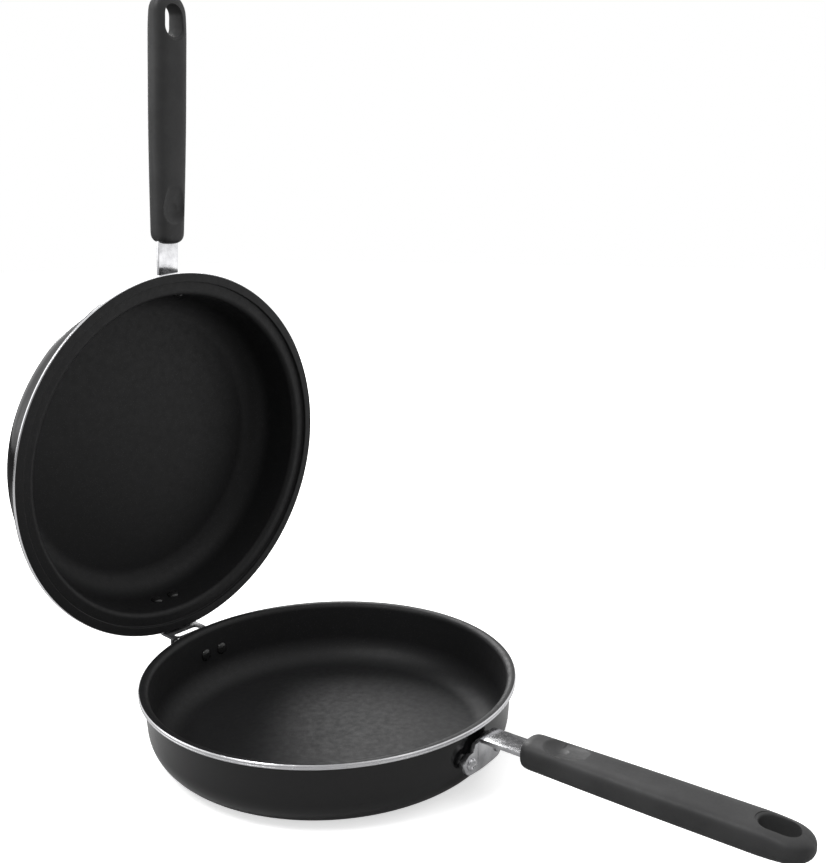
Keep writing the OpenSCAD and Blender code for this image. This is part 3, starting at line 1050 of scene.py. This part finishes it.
@dataclass
class Grip:
    """A moulded grip: rounded section, hanging hole, thumb dimple, socket and screw bore."""

    half: Half
    arm_drop: float
    start: float = 147.5
    length: float = 158.0
    width: float = 25.0
    thickness: float = 16.4
    neck: float = 21.0
    end_bulge: float = 0.3
    end_round: float = 9.0
    hang_length: float = 20.0
    hang_width: float = 13.6
    hang_tip: float = 7.0
    dimple_start: float = 13.0
    dimple_length: float = 26.0
    dimple_width: float = 17.4
    dimple_depth: float = 3.5
    nose_length: float = 27.0
    nose_thinning: float = 0.48
    square: float = 0.62
    around: int = 112
    swell_rate: float = 150.0
    hang_flare: float = 1.7
    socket_depth: float = 19.4
    slot: Point = (8.2, 1.45)
    bore_radius: float = 2.4
    head_radius: float = 4.0
    head_bore: float = 15.5
    screw_drop: float = 3.2

    @property
    def tip_radius(self) -> float:
        """Length of the rounded tip."""
        return self.width / 2

    @property
    def hang_x(self) -> float:
        """Middle of the hanging hole, along the grip."""
        return self.length - self.hang_tip - self.hang_length / 2

    def half_sizes(self, x: float) -> tuple[float, float]:
        """Half width and half thickness of the grip.

        Args:
            x: Distance from the near end.

        Returns:
            The two half sizes.
        """
        angle = min(90, max(0, x) / self.length * self.swell_rate)
        swell = self.neck + (self.width - self.neck) * math.sin(math.radians(angle))
        s = min(1.0, max(0.0, (x + self.end_bulge) / self.end_round))
        near = (1 - (1 - s) ** 3.2) ** (1 / 2.6)
        u = min(1.0, max(0.0, (x - (self.length - self.tip_radius)) / self.tip_radius))
        tip = math.sqrt(max(0.0, 1 - u * u))
        v = min(1.0, max(0.0, (x - (self.length - self.nose_length)) / self.nose_length))
        nose = (1 - self.nose_thinning * v * v) * (1 - u ** 6) ** (1 / 3)
        return swell / 2 * near * tip, self.thickness / 2 * near * nose

    def stations(self) -> list[float]:
        """Distances along the grip, close together where its shape changes."""
        near = [-self.end_bulge + self.end_round * (1 - math.cos(math.radians(a))) for a in range(0, 91, 5)]
        scoop = self.dimple_start + self.dimple_length + 2
        fine = list(np.arange(near[-1] + 0.8, scoop, 0.55))
        start = self.length - self.tip_radius
        shank = list(np.linspace(scoop, start, 40))
        tip = [start + self.tip_radius * math.sin(math.radians(a)) for a in range(4, 91, 4)]
        return near + fine + shank + tip + [self.length]

    def ring(self, x: float) -> list[tuple[float, float, float]]:
        """Points round the grip, evenly spaced.

        Args:
            x: Distance from the near end.

        Returns:
            The ring's points.
        """
        w, h = self.half_sizes(x)
        t = np.linspace(0, 2 * math.pi, 1441)
        y = w * np.sign(np.cos(t)) * np.abs(np.cos(t)) ** self.square
        z = h * np.sign(np.sin(t)) * np.abs(np.sin(t)) ** self.square
        along = np.concatenate([[0], np.cumsum(np.hypot(np.diff(y), np.diff(z)))])
        if along[-1] < 1e-6:
            return [(x, 0.0, 0.0)] * self.around
        spots = np.linspace(0, along[-1], self.around, endpoint=False)
        ys, zs = np.interp(spots, along, y), np.interp(spots, along, z)
        return [(x, a, b - self.scoop(x, a) * (b > 0)) for a, b in zip(ys, zs)]

    def scoop(self, x: float, y: float) -> float:
        """Depth of the thumb dimple: round at the pan end, fading to a tail.

        Args:
            x: Distance from the near end.
            y: Distance from the grip's middle line.

        Returns:
            The depth in millimetres.
        """
        r = self.dimple_width / 2
        cx = self.dimple_start + r
        tail = self.dimple_length - r
        dx = x - cx
        bowl = 1 - (math.hypot(dx, y) / r) ** 2.2
        t = min(1.0, max(0.0, dx / tail))
        ramp = 0.88 * (1 - t) ** 0.8 * (1 - (abs(y) / (r * (1 - 0.45 * t * t))) ** 4) if dx > 0 else 0.0
        return self.dimple_depth * max(0.0, bowl, ramp)

    def body(self) -> Mesh:
        """The grip's closed outside.

        Returns:
            The mesh in millimetres.
        """
        xs = self.stations()
        points = [p for x in xs for p in self.ring(x)]
        n = self.around
        faces = [
            (k * n + i, (k + 1) * n + i, (k + 1) * n + (i + 1) % n, k * n + (i + 1) % n)
            for k in range(len(xs) - 1) for i in range(n)]
        return joined([mesh_of("grip", points, faces)], "grip_body", 1e-4)

    def hole_cutter(self) -> Mesh:
        """The hanging hole as a solid, flared at both mouths.

        Returns:
            The mesh in millimetres.
        """
        reach, flare = self.thickness / 2 + 2, self.hang_flare
        face = self.half_sizes(self.hang_x)[1]
        levels = [-reach] + [-face + flare * t for t in (0, 0.12, 0.3, 0.55, 1)]
        levels += [-v for v in reversed(levels)]
        points, n = [], 72
        for z in levels:
            gap = max(0.0, min(1.0, (abs(z) - (face - flare)) / flare))
            inside = flare * (1 - math.sqrt(max(0.0, 1 - gap * gap)))
            grow = inside if abs(z) < face else flare * (1 + abs(z) - face)
            r = self.hang_width / 2 + min(grow, flare * 1.6)
            for i in range(n):
                a = 2 * math.pi * (i + 0.5) / n
                shift = math.copysign((self.hang_length - self.hang_width) / 2, math.cos(a))
                points.append((self.hang_x + shift + r * math.cos(a), r * math.sin(a), z))
        faces = [
            (k * n + i, k * n + (i + 1) % n, (k + 1) * n + (i + 1) % n, (k + 1) * n + i)
            for k in range(len(levels) - 1) for i in range(n)]
        faces += [tuple(range(n))[::-1], tuple((len(levels) - 1) * n + i for i in range(n))]
        return joined([mesh_of("hole", points, faces)], "hole_cutter", 1e-4)

    def box_cutter(self, low: Sequence[float], high: Sequence[float]) -> Mesh:
        """A box between two corners, for cutting the socket.

        Args:
            low: The corner with the lowest values.
            high: The opposite corner.

        Returns:
            The box.
        """
        corners = [(x, y, z) for x in (low[0], high[0]) for y in (low[1], high[1]) for z in (low[2], high[2])]
        faces = [(0, 1, 3, 2), (4, 6, 7, 5), (0, 4, 5, 1), (2, 3, 7, 6), (0, 2, 6, 4), (1, 5, 7, 3)]
        return joined([mesh_of("socket", corners, faces)], "socket_cutter", 1e-4)

    def bore_cutter(self, start: float, end: float, r: float, n: int = 40) -> Mesh:
        """A rod along the tie screw, for cutting its bore.

        Args:
            start: Where the rod starts, along the grip.
            end: Where it ends.
            r: Its radius.
            n: Facets round it.

        Returns:
            The mesh in millimetres.
        """
        turns = [2 * math.pi * i / n for i in range(n)]
        rings = [(x, r * math.cos(a), r * math.sin(a) - self.screw_drop) for x in (start, end) for a in turns]
        faces = [(i, (i + 1) % n, n + (i + 1) % n, n + i) for i in range(n)]
        faces += [tuple(range(n))[::-1], tuple(range(n, 2 * n))]
        return joined([mesh_of("bore", rings, faces)], "bore_cutter", 1e-4)

    def cutters(self) -> list[Mesh]:
        """Everything that is cut out of the grip, in millimetres."""
        (y, z), depth = self.slot, self.socket_depth
        slot = self.box_cutter((-4, -y, -z), (depth, y, z))
        pocket = self.box_cutter((-4, -4.2, -6.6), (depth, 4.2, 0.6))
        screw = self.bore_cutter(12.0, self.hang_x, self.bore_radius)
        head = self.bore_cutter(self.hang_x - self.head_bore, self.hang_x - 2, self.head_radius)
        return [self.hole_cutter(), slot, pocket, screw, head]

    def build(self, finishes: Finishes) -> None:
        """Moulds the grip and publishes it.

        Args:
            finishes: The object's finishes.
        """
        holder = placed("blank", self.body())
        tools = []
        for cutter in self.cutters():
            tool = placed("tool", cutter)
            cut = holder.modifiers.new("cut", "BOOLEAN")
            cut.operation = "DIFFERENCE"
            cut.solver = "EXACT"
            cut.object = tool
            tools.append(tool)
        mesh = plain(holder)
        for tool in tools:
            bpy.data.objects.remove(tool)
        mesh.name = f"{self.half.value}_grip_moulded"
        mesh.transform(Matrix.Scale(MM, 4))
        height = (Pan(self.half).depth - self.arm_drop) * MM
        mesh.transform(Matrix.Translation((self.start * MM, 0, height)))
        mesh.transform(self.half.place)
        mesh.materials.clear()
        mesh.materials.append(finishes.phenolic)
        smooth(mesh, 42)
        publish(mesh, f"{self.half.value}_grip_moulded", self.half, f"{self.half.value}_grip")


# ---- the object


@dataclass
class FlipPan:
    """The whole pan: two pans with their brackets, grips and rivets, on one hinge."""

    lathe: Lathe
    finishes: Finishes
    lower_arm_drop: float = 7.5
    upper_arm_drop: float = 15.0

    def pressed(self, half: Half) -> None:
        """Makes the sheet metal and screwed parts of one half.

        Args:
            half: The half.
        """
        f = self.finishes
        hinge = "hinge_leaf" if half is Half.LOWER else "hinge_plate"
        for name, slot, ease, finish in (
            ("handle_bracket", "bracket_steel", 0.45, f.zinc),
            ("bracket_spacers", "bracket_steel", 0.25, f.zinc),
            (hinge, "hinge_steel", 0.35, f.dark),
            ("tie_screw", "screw_steel", 0.3, f.bright),
            ("spring_washer", "screw_steel", 0.12, f.bright),
            ("weld_nut", "screw_steel", 0.2, f.bright),
        ):
            PressedPart(f"{half.value}_{name}", half, slot, ease).build(finish)

    def build(self) -> None:
        """Makes every piece."""
        for half, arm_drop in ((Half.LOWER, self.lower_arm_drop), (Half.UPPER, self.upper_arm_drop)):
            Pan(half).build(self.lathe, self.finishes)
            for row in (
                RivetRow(half, f"{half.value}_bracket_rivets", 5.5, 13.0, 0.0, 20.5, "rivet_steel"),
                RivetRow(half, f"{half.value}_hinge_rivets", 1.8, 7.5, 180.0, 18.0, "hinge_rivet"),
            ):
                row.build(self.lathe, self.finishes)
            Grip(half, arm_drop).build(self.finishes)
            self.pressed(half)
        HingePin(self.lathe).build(self.finishes)


# ---- the studio


@dataclass
class Camera:
    """The camera, at the photograph's viewing angle. Sizes are in millimetres and pixels."""

    azimuth: float = 37.734
    elevation: float = 11.488
    roll: float = -0.512
    across: float = 53.938
    down: float = -153.395
    distance: float = 649.355
    focal: float = 1002.776
    image: tuple = (826, 863)
    aim: tuple = (0.0, 0.0, 45.0)

    def place(self) -> None:
        """Adds the camera to the scene."""
        az, el, roll = (math.radians(v) for v in (self.azimuth, self.elevation, self.roll))
        back = Vector((math.sin(az) * math.cos(el), -math.cos(az) * math.cos(el), math.sin(el)))
        right = Vector((math.cos(az), math.sin(az), 0))
        up = back.cross(right)
        x = right * math.cos(roll) + up * math.sin(roll)
        y = up * math.cos(roll) - right * math.sin(roll)
        spot = Vector(self.aim) + back * self.distance + x * self.across - y * self.down
        data = bpy.data.cameras.new("camera")
        data.sensor_width = 36.0
        data.lens = self.focal * data.sensor_width / max(self.image)
        data.clip_start = 0.01
        camera = placed("camera", data)
        turn = Matrix((x, y, back)).transposed().to_4x4()
        camera.matrix_world = Matrix.Translation(spot * MM) @ turn
        bpy.context.scene.camera = camera


@dataclass(frozen=True)
class SoftBox:
    """One soft lamp."""

    name: str
    spot: tuple
    aim: tuple
    size: tuple
    power: float

    def place(self) -> None:
        """Adds the lamp."""
        data = bpy.data.lights.new(self.name, "AREA")
        data.shape = "RECTANGLE"
        data.size, data.size_y = self.size
        data.energy = self.power
        lamp = placed(self.name, data)
        lamp.location = self.spot
        lamp.rotation_euler = (Vector(self.spot) - Vector(self.aim)).to_track_quat("Z", "Y").to_euler()


@dataclass(frozen=True)
class Flag:
    """A dark patch in what glossy surfaces mirror, faded between two dot products with its side."""

    side: tuple
    edge: float
    core: float
    level: float


@dataclass
class Studio:
    """Plain white studio: floor, even surroundings and soft lamps."""

    floor_size: float = 14.0
    floor_colour: float = 0.93
    floor_gloss: float = 0.5
    floor_dim: float = 0.04
    dim_side: tuple = (-0.8, 0.6, 0.0)
    floor_bounce: float = 0.2
    floor_card: float = 1.0
    card_side: tuple = (0.35, 0.94, 0.0)
    floor_lift: float = 0.6
    ambient: float = 0.6
    near_level: float = 0.3
    far_side: tuple = (-0.55, 0.72, 0.42)
    flags: tuple = (
        Flag((-0.43, 0.76, 0.485), 0.93, 0.985, 0.15),
        Flag((-0.76, 0.65, 0.04), 0.88, 0.97, 0.08),
        Flag((0.0, 0.0, 1.0), 0.78, 0.95, 0.3))

    def floor(self) -> None:
        """Adds the floor, which shows white and keeps the object's shadow."""
        s = self.floor_size / 2
        mesh = mesh_of("floor", [(-s, -s, 0), (s, -s, 0), (s, s, 0), (-s, s, 0)], [(0, 1, 2, 3)])
        mix = Recipe("white_studio_floor")
        rays = mix.add("ShaderNodeLightPath").outputs
        seen = mix.maths("MAXIMUM", rays["Is Camera Ray"], rays["Is Transmission Ray"])
        dim = mix.ranged(mix.toward(mix.place, self.dim_side), 0.3, 0.5, self.floor_gloss, self.floor_dim)
        mirrored = mix.maths("MULTIPLY", rays["Is Glossy Ray"], dim)
        bounce = mix.maths("MULTIPLY", rays["Is Diffuse Ray"], self.floor_bounce)
        hidden = mix.maths("MAXIMUM", mirrored, bounce)
        tone = mix.maths("MAXIMUM", mix.maths("MULTIPLY", seen, self.floor_colour), hidden)
        mix.shade(Base_Color=tone, Roughness=0.9, Specular_IOR_Level=0.1)
        card = mix.ranged(mix.toward(mix.place, self.card_side), 0.2, 0.8, 0.0, self.floor_card)
        shown = mix.maths("MULTIPLY", card, rays["Is Glossy Ray"])
        lift = mix.maths("MULTIPLY", seen, self.floor_lift)
        glow = mix.add("ShaderNodeEmission", {"Strength": mix.maths("MAXIMUM", shown, lift)})
        total = mix.add("ShaderNodeAddShader", {0: mix.shader.outputs[0], 1: glow.outputs[0]})
        mix.fill(mix.tree.nodes["Material Output"], {"Surface": total.outputs[0]})
        mesh.materials.append(mix.material)
        floor = placed("floor", mesh)

    def surroundings(self) -> None:
        """White behind the object, darker on the near side in reflections, and even light."""
        world = bpy.data.worlds.new("studio")
        bpy.context.scene.world = world
        world.use_nodes = True
        mix = NodeKit(world.node_tree)
        place = mix.add("ShaderNodeTexCoord").outputs["Generated"]
        rays = mix.add("ShaderNodeLightPath").outputs
        gloss = mix.ranged(mix.toward(place, self.far_side), -0.5, 0.35, self.near_level, 1.0, soft=True)
        for flag in self.flags:
            beside = mix.toward(place, flag.side)
            shade = mix.ranged(beside, flag.edge, flag.core, 1.0, flag.level, soft=True)
            gloss = mix.maths("MULTIPLY", gloss, shade)
        glossy = mix.maths("MULTIPLY", rays["Is Glossy Ray"], gloss)
        white = mix.maths("MAXIMUM", rays["Is Camera Ray"], rays["Is Transmission Ray"])
        lit = mix.maths("MULTIPLY", rays["Is Diffuse Ray"], self.ambient)
        level = mix.maths("MAXIMUM", mix.maths("MAXIMUM", glossy, white), lit)
        mix.fill(world.node_tree.nodes["Background"], {"Color": (1, 1, 1, 1), "Strength": level})

    def build(self) -> None:
        """Adds everything."""
        self.floor()
        self.surroundings()
        lamps = (
            SoftBox("overhead", (0.2, 0.2, 1.7), (0.0, 0.0, 0.1), (2.2, 2.0), 8),
            SoftBox("front", (-0.24, -0.79, 1.35), (0.1, 0.0, 0.1), (0.5, 0.5), 9),
            SoftBox("left", (-1.5, -1.0, 1.0), (-0.05, 0.0, 0.15), (0.7, 1.4), 4),
            SoftBox("back", (-1.45, 0.95, 1.05), (0.0, 0.0, 0.05), (1.2, 1.4), 36),
        )
        for lamp in lamps:
            lamp.place()
        bpy.context.scene.view_settings.view_transform = "Standard"


def main() -> None:
    """Builds the studio, the camera and the pan."""
    logging.basicConfig(level=logging.INFO, format="%(message)s")
    Studio().build()
    Camera().place()
    FlipPan(Lathe(), Finishes()).build()


if __name__ == "__main__":
    main()
